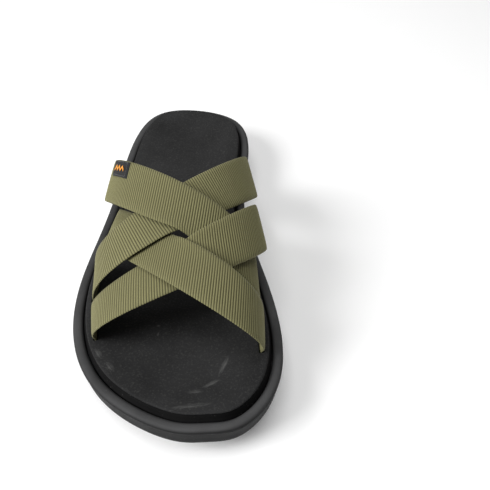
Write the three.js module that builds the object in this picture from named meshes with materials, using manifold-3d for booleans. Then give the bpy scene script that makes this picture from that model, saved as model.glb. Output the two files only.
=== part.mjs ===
// A right-foot slide sandal. A moulded cup midsole sits on a rubber outsole. A lasted footbed is
// cemented into the cup: cover, foam and lasting board, with eight slots. Four webbing straps cross
// over the foot, and each strap end drops through a slot and folds inwards under the board.
// Millimetres, +Z up, toe towards -Y, inner (big toe) side towards +X.

import * as THREE from "three";
import { mergeVertices } from "three/addons/utils/BufferGeometryUtils.js";
import Module from "manifold-3d";

const wasm = await Module();
wasm.setup();

// Sole outline at its widest line: handles of a closed cubic spline, in rows across the sole
const TOE_HANDLE = [15.6, -143];
const HEEL_HANDLE = [-3, 149.6];
const OUTLINE_ROWS = [
  // [y, outer side x, inner side x]
  [-144.4, -2, 34.5],
  [-118, -43.5, 57.5],
  [-74, -61, 61],
  [-26, -58.7, 52.2],
  [26, -45.9, 41],
  [82, -39.7, 53.6],
  [134, -29.5, 52],
];
const SAMPLES_PER_HANDLE = 6;

// Heights along the sole
const FLAT_FRONT = -55;
const TOE_RUN = 90;
const TOE_SPRING = 10;
const TOE_RISE = 8;
const HEEL_BEVEL_START = 115;
const HEEL_BEVEL_RUN = 30;
const HEEL_BEVEL = 3;
const LIP_AT_BALL = 21;
const LIP_HEEL_RISE = 8;
const RAMP_START = -20;
const RAMP_RUN = 120;

// Layers, measured down from the lip of the cup
const FOOTBED_PROUD = 4;
const COVER_THICKNESS = 1.2;
const FOAM_BOTTOM = 5.5;
const BOARD_THICKNESS = 1.2;
const GAP = 0.3;
const BOARD_TOP = FOAM_BOTTOM + GAP;
const BOARD_BOTTOM = BOARD_TOP + BOARD_THICKNESS;
const POCKET_FLOOR = BOARD_BOTTOM + GAP;
const TAIL_RECESS = BOARD_BOTTOM + 3.7;
const LIP_WIDTH = 6;
const LIP_ROUND = 3;
const LIP_TURNS = [0, 0.17, 0.33, 0.5, 0.67, 0.83, 1];
const COVER_INSET = 8;
const DISH_DEPTH = 3;
const DISH_INSET = 15;
const DISH_FACTORS = [1, 0.85, 0.65, 0.4, 0.15];
const SPINE_RATIO = 0.78;
const FOOTBED_WALL = 6.4;
const FOOTBED_SHOULDER = 1;
const BOARD_INSET = 7;
const COVER_ROLL = 0.6;

// The cup's wall: how far in it is, and the share of the way from its foot up to the lip
const WALL = [
  // [inset, share of height]
  [5.4, 0],
  [2.8, 0.1],
  [1.4, 0.36],
  [0.6, 0.72],
];

// Outsole
const OUTSOLE_INSET = 7;
const OUTSOLE_THICKNESS = 4;
const OUTSOLE_PROUD = 2;
const OUTSOLE_BEVEL = 1;
const GROOVE_DEPTH = 2;
const GROOVE_WIDTH = 3;
const GROOVE_PITCH = 17;
const GROOVE_ROWS = [-6, -5, -4, -3, -2, -1, 1, 2, 3, 4, 5, 6];
const GROOVE_HALF_LENGTH = 70;
const GROOVE_WAVE = 4;

// Webbing
const WEBBING_THICKNESS = 1.8;
const SLOT_INSET = 12;
const SLOT_CLEARANCE = 0.4;
const CUTTER_TOP = 100;
const BEND_RADIUS = 1.3;
const TAIL_LENGTH = 14;
const ARCH_STEPS = 32;
const ACROSS_STEPS = 5;
const PATCH_STEPS = 3;

// How the straps cross: each pair is [over, under]. Middle surfaces keep this rise at a crossing.
const CROSSINGS = [
  ["strap_upper_over", "strap_upper_under"],
  ["strap_lower_under", "strap_upper_over"],
  ["strap_upper_under", "strap_lower_over"],
  ["strap_lower_over", "strap_lower_under"],
];
const CROSSING_RISE = 2.8;
const CROSSING_REACH = 4;
const SETTLE_PASSES = 40;

// Each strap is ruled between two cubic curves, its toe edge and its heel edge. An edge starts and
// ends in the slots at the given y, and the leads are the curve's handles: [across, along, up].
const STRAPS = [
  {
    name: "strap_upper_over",
    toe: { outerY: 22, innerY: -70, outerLead: [-37, -56, 73], innerLead: [11, -6, 53] },
    heel: { outerY: 56, innerY: -44, outerLead: [-40, -65, 80], innerLead: [25, -7, 71] },
  },
  {
    name: "strap_upper_under",
    toe: { outerY: -57, innerY: 25, outerLead: [7, -28, 73], innerLead: [65, -36, 48] },
    heel: { outerY: -30, innerY: 56, outerLead: [-14, -32, 62], innerLead: [48, -53, 77] },
  },
  {
    name: "strap_lower_under",
    toe: { outerY: -85, innerY: -20, outerLead: [-9, -22, 44], innerLead: [60, -43, 56] },
    heel: { outerY: -62, innerY: 6, outerLead: [0, -18, 40], innerLead: [57, -46, 86] },
  },
  {
    name: "strap_lower_over",
    toe: { outerY: -16, innerY: -98, outerLead: [-8, -39, 56], innerLead: [10, -33, 50] },
    heel: { outerY: 18, innerY: -75, outerLead: [-8, -43, 50], innerLead: [12, -28, 71] },
  },
];

// Labels on the upper strap: places along it (0 at the outer slot) and across it (0 at the toe edge)
const TAB = { along: [0.235, 0.335], across: [0.6, 0.98] };
const TAB_MARK = { along: [0.255, 0.315], across: [0.74, 0.87] };
const TAB_BORDER = { along: [0.242, 0.328], across: [0.63, 0.95] };
const INNER_LABEL = { along: [0.2, 0.42], across: [0.14, 0.86] };
const INNER_BORDER = { along: [0.21, 0.41], across: [0.18, 0.82] };
const INNER_RING = { along: 0.38, across: 0.5, outer: 3.4, inner: 2.4 };
const LABEL_THICKNESS = 0.6;
const MARK_THICKNESS = 0.4;
const BORDER_WIDTH = 0.6;
const OVERCUT = 1;
const FEWEST_STEPS = 3;
const RING_SEGMENTS = 24;
const RING_STEP = 0.02;

// A bar of stitching under each folded tail
const TACK = { length: 12, width: 2, thickness: 0.7, place: 0.6 };

const COLOURS = {
  rubber: new THREE.MeshStandardMaterial({ color: "#1d1d1e", roughness: 0.85, metalness: 0 }),
  foam: new THREE.MeshStandardMaterial({ color: "#262627", roughness: 0.75, metalness: 0 }),
  board: new THREE.MeshStandardMaterial({ color: "#6b6152", roughness: 0.9, metalness: 0 }),
  cover: new THREE.MeshStandardMaterial({ color: "#202021", roughness: 0.8, metalness: 0 }),
  webbing: new THREE.MeshStandardMaterial({ color: "#7c7854", roughness: 0.9, metalness: 0 }),
  label: new THREE.MeshStandardMaterial({ color: "#161616", roughness: 0.8, metalness: 0 }),
  mark: new THREE.MeshStandardMaterial({ color: "#d88a1e", roughness: 0.7, metalness: 0 }),
  thread: new THREE.MeshStandardMaterial({ color: "#2b2b2b", roughness: 0.8, metalness: 0 }),
  print: new THREE.MeshStandardMaterial({ color: "#55565a", roughness: 0.6, metalness: 0 }),
};

const unit = (value, start, run) => THREE.MathUtils.clamp((value - start) / run, 0, 1);
const toeCurve = (y) => unit(-y, -FLAT_FRONT, TOE_RUN) ** 2;
const groundHeight = (y) => TOE_SPRING * toeCurve(y)
  + HEEL_BEVEL * unit(y, HEEL_BEVEL_START, HEEL_BEVEL_RUN) ** 2;
const lipHeight = (y) => LIP_AT_BALL + TOE_RISE * toeCurve(y)
  + LIP_HEEL_RISE * THREE.MathUtils.smoothstep(y, RAMP_START, RAMP_START + RAMP_RUN);
const belowLip = (depth) => (y) => lipHeight(y) - depth;
const aboveGround = (height) => (y) => groundHeight(y) + height;
const footHeight = belowLip(-FOOTBED_PROUD);

// ---- Solids ----

function closedGeometry(positions, index) {
  const geometry = new THREE.BufferGeometry();
  geometry.setAttribute("position", new THREE.Float32BufferAttribute(positions, 3));
  geometry.setIndex(signedVolume(positions, index) < 0 ? index.toReversed() : index);
  return geometry;
}

function signedVolume(positions, index) {
  const corner = (i) => new THREE.Vector3().fromArray(positions, 3 * index[i]);
  let volume = 0;
  for (let i = 0; i < index.length; i += 3) {
    volume += corner(i).dot(corner(i + 1).cross(corner(i + 2))) / 6;
  }
  return volume;
}

// Joins a stack of closed rings, each with the same even number of points, into one closed body.
// The first and last ring are closed straight across, from each point to its partner.
function loft(rings) {
  const count = rings[0].length;
  const positions = rings.flat().flatMap((point) => point.toArray());
  const index = [];
  for (let ring = 0; ring < rings.length - 1; ring += 1) {
    for (let i = 0; i < count; i += 1) {
      const a = ring * count + i;
      const b = ring * count + (i + 1) % count;
      index.push(a, b, b + count, a, b + count, a + count);
    }
  }
  const closeAcross = (first, flip) => {
    const triangle = (a, b, c) => index.push(...(flip ? [a, c, b] : [a, b, c]).map((i) => first + i));
    triangle(0, 1, count - 1);
    for (let i = 1; i < count / 2 - 1; i += 1) {
      triangle(i, i + 1, count - i - 1);
      triangle(i, count - i - 1, count - i);
    }
    triangle(count / 2 - 1, count / 2, count / 2 + 1);
  };
  closeAcross(0, true);
  closeAcross((rings.length - 1) * count, false);
  return closedGeometry(positions, index);
}

function toManifold(geometry) {
  const plain = geometry.clone();
  plain.deleteAttribute("normal");
  plain.deleteAttribute("uv");
  const merged = mergeVertices(plain, 1e-4);
  const vertProperties = new Float32Array(merged.getAttribute("position").array);
  const triVerts = new Uint32Array(merged.getIndex().array);
  return new wasm.Manifold(new wasm.Mesh({ numProp: 3, vertProperties, triVerts }));
}

function cut(geometry, cutters) {
  let solid = toManifold(geometry);
  for (const cutter of cutters) {
    solid = solid.subtract(toManifold(cutter));
  }
  const mesh = solid.getMesh();
  return closedGeometry(Array.from(mesh.vertProperties), Array.from(mesh.triVerts));
}

// An upright prism over a list of corners in plan
function prism(corners, bottom, top) {
  const shape = new THREE.Shape(corners.map((corner) => new THREE.Vector2(corner.x, corner.y)));
  const geometry = new THREE.ExtrudeGeometry(shape, { depth: top - bottom, bevelEnabled: false });
  return geometry.translate(0, 0, bottom);
}

// ---- Sole ----

function outlineHandles() {
  const inner = OUTLINE_ROWS.map(([y, , innerX]) => [innerX, y]);
  const outer = OUTLINE_ROWS.map(([y, outerX]) => [outerX, y]).reverse();
  return [TOE_HANDLE, ...inner, HEEL_HANDLE, ...outer];
}

// Points round the sole, anticlockwise from the toe, moved inwards by the inset
function outline(inset) {
  const handles = outlineHandles();
  const points = [];
  for (let i = 0; i < handles.length; i += 1) {
    const span = [-1, 0, 1, 2].map((k) => handles.at((i + k) % handles.length));
    for (let step = 0; step < SAMPLES_PER_HANDLE; step += 1) {
      const t = step / SAMPLES_PER_HANDLE;
      const s = 1 - t;
      const weights = [s ** 3, 3 * t ** 3 - 6 * t ** 2 + 4, 3 * s ** 3 - 6 * s ** 2 + 4, t ** 3];
      const slopes = [-(s ** 2), 3 * t ** 2 - 4 * t, 4 * s - 3 * s ** 2, t ** 2];
      const blend = (factors, axis) => span.reduce((sum, handle, k) => sum + factors[k] * handle[axis], 0);
      const direction = new THREE.Vector2(blend(slopes, 0), blend(slopes, 1)).normalize();
      points.push(new THREE.Vector2(
        blend(weights, 0) / 6 - direction.y * inset,
        blend(weights, 1) / 6 + direction.x * inset,
      ));
    }
  }
  return points;
}

const ring = (inset, height) => outline(inset).map(({ x, y }) => new THREE.Vector3(x, y, height(y)));

// Rings inside the footbed's rim, drawn in towards its spine and sunk by the dish
function dishedRings(height) {
  const rim = outline(DISH_INSET);
  return DISH_FACTORS.map((factor) => rim.map((point, i) => {
    const partner = rim[(rim.length - i) % rim.length];
    const spine = new THREE.Vector2((point.x + partner.x) / 2, point.y * SPINE_RATIO);
    const { x, y } = point.clone().sub(spine).multiplyScalar(factor).add(spine);
    return new THREE.Vector3(x, y, height(y) - DISH_DEPTH * (1 - factor ** 2));
  }));
}

function outsole() {
  const body = loft([
    ring(OUTSOLE_INSET + OUTSOLE_BEVEL, aboveGround(0)),
    ring(OUTSOLE_INSET, aboveGround(OUTSOLE_BEVEL)),
    ring(OUTSOLE_INSET, aboveGround(OUTSOLE_THICKNESS)),
  ]);
  return cut(body, GROOVE_ROWS.map(treadGroove));
}

// A shallow chevron groove across the tread
function treadGroove(row) {
  const y = row * GROOVE_PITCH;
  const half = GROOVE_WIDTH / 2;
  const front = [[-GROOVE_HALF_LENGTH, 0], [0, GROOVE_WAVE], [GROOVE_HALF_LENGTH, 0]];
  const corners = [...front.map(([x, wave]) => ({ x, y: y + wave - half })),
    ...front.reverse().map(([x, wave]) => ({ x, y: y + wave + half }))];
  const height = Math.max(groundHeight(y - half), groundHeight(y + GROOVE_WAVE + half));
  return prism(corners, -1, height + GROOVE_DEPTH);
}

// The cup: a wall that draws in towards the ground, a rounded lip and a pocket for the footbed
function midsole() {
  const wall = WALL.map(([inset, share]) => ring(inset, (y) => (
    THREE.MathUtils.lerp(groundHeight(y) + OUTSOLE_PROUD, lipHeight(y) - LIP_ROUND, share))));
  const lip = LIP_TURNS.map((turn) => ring(
    LIP_WIDTH / 2 * (1 - Math.cos(turn * Math.PI)),
    belowLip(LIP_ROUND * (1 - Math.sin(turn * Math.PI))),
  ));
  const body = loft([
    ring(OUTSOLE_INSET - GAP, aboveGround(OUTSOLE_THICKNESS + GAP)),
    ring(OUTSOLE_INSET - GAP, aboveGround(OUTSOLE_PROUD)),
    ...wall,
    ...lip,
    ring(LIP_WIDTH, belowLip(POCKET_FLOOR)),
  ]);
  return cut(body, slots().map((slot) => tailRecess(slot)));
}

function lastingBoard() {
  const body = loft([
    ring(BOARD_INSET, belowLip(BOARD_BOTTOM)),
    ring(BOARD_INSET, belowLip(BOARD_TOP)),
  ]);
  return cut(body, slots().map((slot) => slotCutter(slot)));
}

function footbed() {
  const top = belowLip(COVER_THICKNESS + GAP - FOOTBED_PROUD);
  const body = loft([
    ring(FOOTBED_WALL, belowLip(FOAM_BOTTOM)),
    ring(FOOTBED_WALL, belowLip(FOOTBED_SHOULDER)),
    ring(COVER_INSET, top),
    ...dishedRings(top),
  ]);
  return cut(body, slots().map((slot) => slotCutter(slot)));
}

function footbedCover() {
  const bottom = belowLip(COVER_THICKNESS - FOOTBED_PROUD);
  const body = loft([
    ...dishedRings(bottom).reverse(),
    ring(COVER_INSET, bottom),
    ring(COVER_INSET, belowLip(COVER_ROLL - FOOTBED_PROUD)),
    ring(COVER_INSET + COVER_ROLL, footHeight),
    ...dishedRings(footHeight),
  ]);
  return cut(body, slots().map((slot) => slotCutter(slot)));
}

// ---- Slots ----

// The point on the slot line at the given y, on the outer or inner side of the sole
function slotPoint(side, y) {
  const points = outline(SLOT_INSET);
  const half = points.length / 2;
  const line = side === "outer" ? [...points.slice(half), points[0]] : points.slice(0, half + 1);
  for (let i = 1; i < line.length; i += 1) {
    const t = (y - line[i - 1].y) / (line[i].y - line[i - 1].y);
    if (t >= 0 && t <= 1) {
      return new THREE.Vector2().lerpVectors(line[i - 1], line[i], t);
    }
  }
  throw new Error(`no ${side} slot point at y ${y}`);
}

function makeSlot(strap, side) {
  const toe = slotPoint(side, strap.toe[`${side}Y`]);
  const heel = slotPoint(side, strap.heel[`${side}Y`]);
  const along = heel.clone().sub(toe).normalize();
  const inwards = side === "outer"
    ? new THREE.Vector2(along.y, -along.x)
    : new THREE.Vector2(-along.y, along.x);
  return { name: `${strap.name}_${side}`, toe, heel, along, inwards };
}

const slots = () => STRAPS.flatMap((strap) => [makeSlot(strap, "outer"), makeSlot(strap, "inner")]);

// Corners in plan of a strip along a slot, from one distance inwards to another
function slotStrip({ toe, heel, along, inwards }, from, to, endRoom) {
  const corner = (point, end, distance) => point.clone()
    .addScaledVector(along, end)
    .addScaledVector(inwards, distance);
  return [
    corner(toe, -endRoom, from),
    corner(toe, -endRoom, to),
    corner(heel, endRoom, to),
    corner(heel, endRoom, from),
  ];
}

function slotCutter(slot) {
  const room = WEBBING_THICKNESS / 2 + SLOT_CLEARANCE;
  return prism(slotStrip(slot, -room, room, 2 * SLOT_CLEARANCE), 0, CUTTER_TOP);
}

function tailRecess(slot) {
  const room = WEBBING_THICKNESS / 2 + SLOT_CLEARANCE;
  const lowest = Math.min(lipHeight(slot.toe.y), lipHeight(slot.heel.y)) - TAIL_RECESS;
  const reach = TAIL_LENGTH + SLOT_CLEARANCE;
  return prism(slotStrip(slot, -room, reach, 2 * SLOT_CLEARANCE), lowest, CUTTER_TOP);
}

// ---- Straps ----

const tailHeight = belowLip(BOARD_BOTTOM + GAP + WEBBING_THICKNESS / 2);

// One edge of a strap's arch, from its outer slot to its inner slot
function archEdge(edge) {
  const end = (side, lead) => {
    const { x, y } = slotPoint(side, edge[`${side}Y`]);
    const mouth = new THREE.Vector3(x, y, footHeight(y));
    return [mouth, mouth.clone().add(new THREE.Vector3(...lead))];
  };
  const [start, startHandle] = end("outer", edge.outerLead);
  const [finish, finishHandle] = end("inner", edge.innerLead);
  return new THREE.CubicBezierCurve3(start, startHandle, finishHandle, finish);
}

// The arch as rows of points from the toe edge to the heel edge, each with its outward normal
function archGrid(strap) {
  const toe = archEdge(strap.toe);
  const heel = archEdge(strap.heel);
  const grid = [];
  for (let i = 0; i <= ARCH_STEPS; i += 1) {
    const along = i / ARCH_STEPS;
    const ruling = heel.getPoint(along).sub(toe.getPoint(along));
    for (let j = 0; j <= ACROSS_STEPS; j += 1) {
      const across = j / ACROSS_STEPS;
      const point = toe.getPoint(along).lerp(heel.getPoint(along), across);
      const tangent = toe.getTangent(along).lerp(heel.getTangent(along), across);
      grid.push({ point, normal: tangent.cross(ruling).normalize() });
    }
  }
  return grid;
}

// Moves a point of one strap and the nearest point of another apart, if the webbing would touch
function separate(over, under, share) {
  const apart = (one, other) => one.point.distanceToSquared(other.point);
  for (const upper of over) {
    const lower = under.reduce((best, other) => (apart(other, upper) < apart(best, upper) ? other : best));
    const reach = upper.point.clone().sub(lower.point);
    const rise = reach.dot(lower.normal) * share;
    const beside = Math.sqrt(Math.max(reach.lengthSq() - rise ** 2, 0));
    const lack = CROSSING_RISE - rise;
    if (beside < CROSSING_REACH && lack > 0) {
      upper.point.addScaledVector(upper.normal, share * lack / 2);
      lower.point.addScaledVector(lower.normal, -share * lack / 2);
    }
  }
}

// Lets the straps settle over and under each other
function settledArches() {
  const arches = Object.fromEntries(STRAPS.map((strap) => [strap.name, archGrid(strap)]));
  for (let pass = 0; pass < SETTLE_PASSES; pass += 1) {
    for (const [over, under] of CROSSINGS) {
      separate(arches[over], arches[under], 1);
      separate(arches[under], arches[over], -1);
    }
  }
  return arches;
}

const ARCHES = settledArches();

// From the end of a folded tail up to the slot's mouth
function tailPath(mouth, inwards) {
  const at = (distance, rise) => {
    const x = mouth.x + inwards.x * distance;
    const y = mouth.y + inwards.y * distance;
    return new THREE.Vector3(x, y, tailHeight(y) + rise);
  };
  const corner = BEND_RADIUS * (1 - Math.SQRT1_2);
  return [
    at(TAIL_LENGTH, 0),
    at(TAIL_LENGTH / 2, 0),
    at(BEND_RADIUS, 0),
    at(corner, corner),
    at(0, BEND_RADIUS),
    at(0, (mouth.z - tailHeight(mouth.y)) / 2),
  ];
}

// A whole strap as rows of middle points across the webbing, from tail to tail
function strapRows(strap) {
  const arch = ARCHES[strap.name].map(({ point }) => point);
  const width = ACROSS_STEPS + 1;
  const rows = [];
  for (let i = 0; i < arch.length; i += width) {
    rows.push(arch.slice(i, i + width));
  }
  const tailRows = (row, side) => {
    const paths = row.map((mouth) => tailPath(mouth, makeSlot(strap, side).inwards));
    return paths[0].map((_, i) => paths.map((path) => path[i]));
  };
  return [...tailRows(rows[0], "outer"), ...rows, ...tailRows(rows.at(-1), "inner").reverse()];
}

// Rows of middle points, thickened into one closed body between two offsets
function thicken(rows, low, high) {
  const last = rows.length - 1;
  return loft(rows.map((row, i) => {
    const face = (offset) => row.map((point, j) => {
      const along = rows[Math.min(i + 1, last)][j].clone().sub(rows[Math.max(i - 1, 0)][j]);
      const across = row[Math.min(j + 1, row.length - 1)].clone().sub(row[Math.max(j - 1, 0)]);
      return point.clone().addScaledVector(along.cross(across).normalize(), offset);
    });
    return [...face(high), ...face(low).reverse()];
  }));
}

function strapSolid(strap, room = 0) {
  const half = WEBBING_THICKNESS / 2 + room;
  return thicken(strapRows(strap), -half, half);
}

// A strap with its edges trimmed where the four straps meet and still press on each other
function trimmedStrap(strap) {
  const above = CROSSINGS.filter(([, under]) => under === strap.name).map(([over]) => over);
  const before = STRAPS.slice(0, STRAPS.indexOf(strap)).map(({ name }) => name);
  const cutters = STRAPS.filter(({ name }) => above.includes(name)
    || (before.includes(name) && !CROSSINGS.some(([over]) => over === strap.name)));
  return cut(strapSolid(strap), cutters.map((other) => strapSolid(other, GAP)));
}

// A point on the settled arch, at a place along and across it
function archPoint(strap, along, across) {
  const arch = ARCHES[strap.name];
  const u = along * ARCH_STEPS;
  const v = across * ACROSS_STEPS;
  const i = Math.min(Math.floor(u), ARCH_STEPS - 1);
  const j = Math.min(Math.floor(v), ACROSS_STEPS - 1);
  const at = (di, dj) => arch[(i + di) * (ACROSS_STEPS + 1) + j + dj].point.clone();
  return at(0, 0).lerp(at(1, 0), u - i).lerp(at(0, 1).lerp(at(1, 1), u - i), v - j);
}

// A thin patch that follows a strap, between two offsets from its middle surface
function patch(strap, { along, across }, low, high) {
  const rows = [];
  const steps = Math.max(FEWEST_STEPS, Math.round((along[1] - along[0]) * ARCH_STEPS));
  for (let i = 0; i <= steps; i += 1) {
    const t = THREE.MathUtils.lerp(along[0], along[1], i / steps);
    const row = [];
    for (let j = 0; j <= PATCH_STEPS; j += 1) {
      row.push(archPoint(strap, t, THREE.MathUtils.lerp(across[0], across[1], j / PATCH_STEPS)));
    }
    rows.push(row);
  }
  return thicken(rows, low, high);
}

// ---- Labels and stitching ----

const UPPER_STRAP = STRAPS[0];
const OUTER_FACE = WEBBING_THICKNESS / 2 + GAP;
const LABEL_TOP = OUTER_FACE + LABEL_THICKNESS;

function logoTab() {
  return patch(UPPER_STRAP, TAB, OUTER_FACE, LABEL_TOP);
}

function logoTabMark() {
  return patch(UPPER_STRAP, TAB_MARK, LABEL_TOP + GAP, LABEL_TOP + GAP + MARK_THICKNESS);
}

// A narrow stitched frame: a patch with its middle cut out
function stitchFrame(area, low, high) {
  const corner = archPoint(UPPER_STRAP, area.along[0], area.across[0]);
  const length = corner.distanceTo(archPoint(UPPER_STRAP, area.along[1], area.across[0]));
  const width = corner.distanceTo(archPoint(UPPER_STRAP, area.along[0], area.across[1]));
  const shrink = ([start, end], size) => {
    const margin = (end - start) * BORDER_WIDTH / size;
    return [start + margin, end - margin];
  };
  const middle = { along: shrink(area.along, length), across: shrink(area.across, width) };
  const hole = patch(UPPER_STRAP, middle, low - OVERCUT, high + OVERCUT);
  return cut(patch(UPPER_STRAP, area, low, high), [hole]);
}

function logoTabStitching() {
  return stitchFrame(TAB_BORDER, LABEL_TOP + GAP, LABEL_TOP + GAP + MARK_THICKNESS);
}

function innerLabel() {
  return patch(UPPER_STRAP, INNER_LABEL, -LABEL_TOP, -OUTER_FACE);
}

function innerLabelStitching() {
  return stitchFrame(INNER_BORDER, -LABEL_TOP - GAP - MARK_THICKNESS, -LABEL_TOP - GAP);
}

// A printed ring on the inner label
function innerLabelRing() {
  const { along, across, outer, inner } = INNER_RING;
  const profile = [[inner, 0], [outer, 0], [outer, MARK_THICKNESS], [inner, MARK_THICKNESS], [inner, 0]]
    .map(([radius, height]) => new THREE.Vector2(radius, height));
  const geometry = new THREE.LatheGeometry(profile, RING_SEGMENTS);
  const seat = archPoint(UPPER_STRAP, along, across);
  const ahead = archPoint(UPPER_STRAP, along + RING_STEP, across).sub(seat);
  const inside = archPoint(UPPER_STRAP, along, across + RING_STEP).sub(seat).cross(ahead).normalize();
  seat.addScaledVector(inside, LABEL_TOP + GAP);
  geometry.applyQuaternion(new THREE.Quaternion().setFromUnitVectors(new THREE.Vector3(0, 1, 0), inside));
  geometry.translate(seat.x, seat.y, seat.z);
  return geometry;
}

// A bar of stitching under a folded tail
function barTack({ toe, heel, along, inwards }) {
  const { length, width, thickness, place } = TACK;
  const centre = toe.clone().add(heel).multiplyScalar(0.5).addScaledVector(inwards, TAIL_LENGTH * place);
  const rings = [-0.5, 0, 0.5].map((end) => {
    const middle = centre.clone().addScaledVector(along, end * length);
    const corner = (side, depth) => {
      const { x, y } = middle.clone().addScaledVector(inwards, side * width / 2);
      return new THREE.Vector3(x, y, tailHeight(y) - WEBBING_THICKNESS / 2 - GAP - depth);
    };
    return [corner(-1, 0), corner(1, 0), corner(1, thickness), corner(-1, thickness)];
  });
  return loft(rings);
}

// ---- Assembly ----

const group = new THREE.Group();

function add(name, geometry, material) {
  const mesh = new THREE.Mesh(geometry, material);
  mesh.name = name;
  group.add(mesh);
}

add("outsole", outsole(), COLOURS.rubber);
add("midsole", midsole(), COLOURS.foam);
add("lasting_board", lastingBoard(), COLOURS.board);
add("footbed", footbed(), COLOURS.foam);
add("footbed_cover", footbedCover(), COLOURS.cover);
STRAPS.forEach((strap) => add(strap.name, trimmedStrap(strap), COLOURS.webbing));
slots().forEach((slot) => add(`bartack_${slot.name}`, barTack(slot), COLOURS.thread));
add("logo_tab", logoTab(), COLOURS.label);
add("logo_tab_mark", logoTabMark(), COLOURS.mark);
add("logo_tab_stitching", logoTabStitching(), COLOURS.thread);
add("inner_label", innerLabel(), COLOURS.label);
add("inner_label_ring", innerLabelRing(), COLOURS.print);
add("inner_label_stitching", innerLabelStitching(), COLOURS.thread);

export default group;
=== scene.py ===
"""The looks of a right-foot slide sandal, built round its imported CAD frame.

Shapes are worked out in millimetres, toe towards -Y and inner side towards +X, and scaled to metres
when their meshes are made. The sole's outline, the heights and the straps' curves are the CAD model's.
"""

import math

import bpy
import numpy as np
from mathutils import Matrix, Vector


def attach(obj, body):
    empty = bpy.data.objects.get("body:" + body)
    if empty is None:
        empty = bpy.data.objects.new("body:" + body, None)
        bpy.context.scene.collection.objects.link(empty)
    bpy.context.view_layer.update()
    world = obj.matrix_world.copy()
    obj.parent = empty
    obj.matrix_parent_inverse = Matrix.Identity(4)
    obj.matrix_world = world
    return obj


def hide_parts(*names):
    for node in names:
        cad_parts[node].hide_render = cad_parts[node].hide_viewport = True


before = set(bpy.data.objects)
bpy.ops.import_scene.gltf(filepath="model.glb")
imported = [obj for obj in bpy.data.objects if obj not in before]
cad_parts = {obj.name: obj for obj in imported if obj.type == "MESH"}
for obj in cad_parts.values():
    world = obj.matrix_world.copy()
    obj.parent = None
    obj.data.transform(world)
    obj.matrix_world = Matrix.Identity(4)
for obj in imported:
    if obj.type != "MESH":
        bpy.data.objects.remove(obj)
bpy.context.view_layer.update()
MM = 0.001

# Sole outline at its widest line: handles of a closed cubic spline, in rows across the sole
TOE_HANDLE = (15.6, -143)
HEEL_HANDLE = (-3, 149.6)
OUTLINE_ROWS = [
    # y, outer side x, inner side x
    (-144.4, -2, 34.5),
    (-118, -43.5, 57.5),
    (-74, -61, 61),
    (-26, -58.7, 52.2),
    (26, -45.9, 41),
    (82, -39.7, 53.6),
    (134, -29.5, 52),
]
SAMPLES_PER_HANDLE = 16

# Heights along the sole
FLAT_FRONT = -55
TOE_RUN = 90
TOE_SPRING = 10
TOE_RISE = 8
HEEL_BEVEL_START = 115
HEEL_BEVEL_RUN = 30
HEEL_BEVEL = 3
LIP_AT_BALL = 21
LIP_HEEL_RISE = 8
RAMP_START = -20
RAMP_RUN = 120

# Layers, measured down from the lip of the cup
FOOTBED_PROUD = 4
COVER_THICKNESS = 1.2
FOAM_BOTTOM = 5.5
BOARD_BOTTOM = 7
GAP = 0.3
POCKET_FLOOR = BOARD_BOTTOM + GAP
TAIL_RECESS = BOARD_BOTTOM + 3.7
LIP_WIDTH = 6
COVER_INSET = 8
DISH_INSET = 15
DISH_DEPTH = 3
DISH_RINGS = 26
SMALLEST_DISH_RING = 0.02
SPINE_RATIO = 0.78

# Outsole
OUTSOLE_INSET = 7
OUTSOLE_THICKNESS = 4
OUTSOLE_PROUD = 2
GROOVE_DEPTH = 2
GROOVE_WIDTH = 3
GROOVE_PITCH = 17
GROOVE_ROWS = [-6, -5, -4, -3, -2, -1, 1, 2, 3, 4, 5, 6]
GROOVE_HALF_LENGTH = 70
GROOVE_WAVE = 4
GROOVE_SAMPLES = 29
CUTTER_BOTTOM = -1
CUTTER_TOP = 100
TREAD_EDGE = [(1.2, 0), (0.4, 0.3), (0, 1)]  # extra inset, height above the ground

# Webbing
WEBBING_THICKNESS = 1.7
SLOT_INSET = 12
SLOT_CLEARANCE = 0.5
BEND_RADIUS = 1.3
TAIL_LENGTH = 14
SETTLE_ALONG = 48
SETTLE_ACROSS = 8
SETTLE_PASSES = 30
CROSSING_RISE = 2.7
CROSSING_REACH = 3.5
RIB_PITCH = 1.5
RIB_DEPTH = 0.4
RIB_SAMPLES = 6
RIB_SCALLOP = 0.16
FACE_SAMPLES = 12

CROSSINGS = [
    # over, under
    ("upper_over", "upper_under"),
    ("lower_under", "upper_over"),
    ("upper_under", "lower_over"),
    ("lower_over", "lower_under"),
]

# Each strap's toe edge and heel edge: where they start and end, and the handles of their curves
STRAPS = {
    "upper_over": {
        "toe": (22, -70, (-37, -56, 73), (11, -6, 53)),
        "heel": (56, -44, (-40, -65, 80), (25, -7, 71)),
    },
    "upper_under": {
        "toe": (-57, 25, (7, -28, 73), (65, -36, 48)),
        "heel": (-30, 56, (-14, -32, 62), (48, -53, 77)),
    },
    "lower_under": {
        "toe": (-85, -20, (-9, -22, 44), (60, -43, 56)),
        "heel": (-62, 6, (0, -18, 40), (57, -46, 86)),
    },
    "lower_over": {
        "toe": (-16, -98, (-8, -39, 56), (10, -33, 50)),
        "heel": (18, -75, (-8, -43, 50), (12, -28, 71)),
    },
}

# Labels on the upper strap: places along it (0 at the outer slot) and across it (0 at the toe edge)
TAB = ((0.235, 0.335), (0.6, 0.98))
TAB_STITCHES = ((0.243, 0.327), (0.63, 0.95))
TAB_MARK = ((0.256, 0.314), (0.72, 0.87))
INNER_LABEL = ((0.2, 0.42), (0.14, 0.86))
INNER_STITCHES = ((0.208, 0.412), (0.18, 0.82))
INNER_RING = (0.38, 0.5)
LABEL_THICKNESS = 0.6

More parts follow.
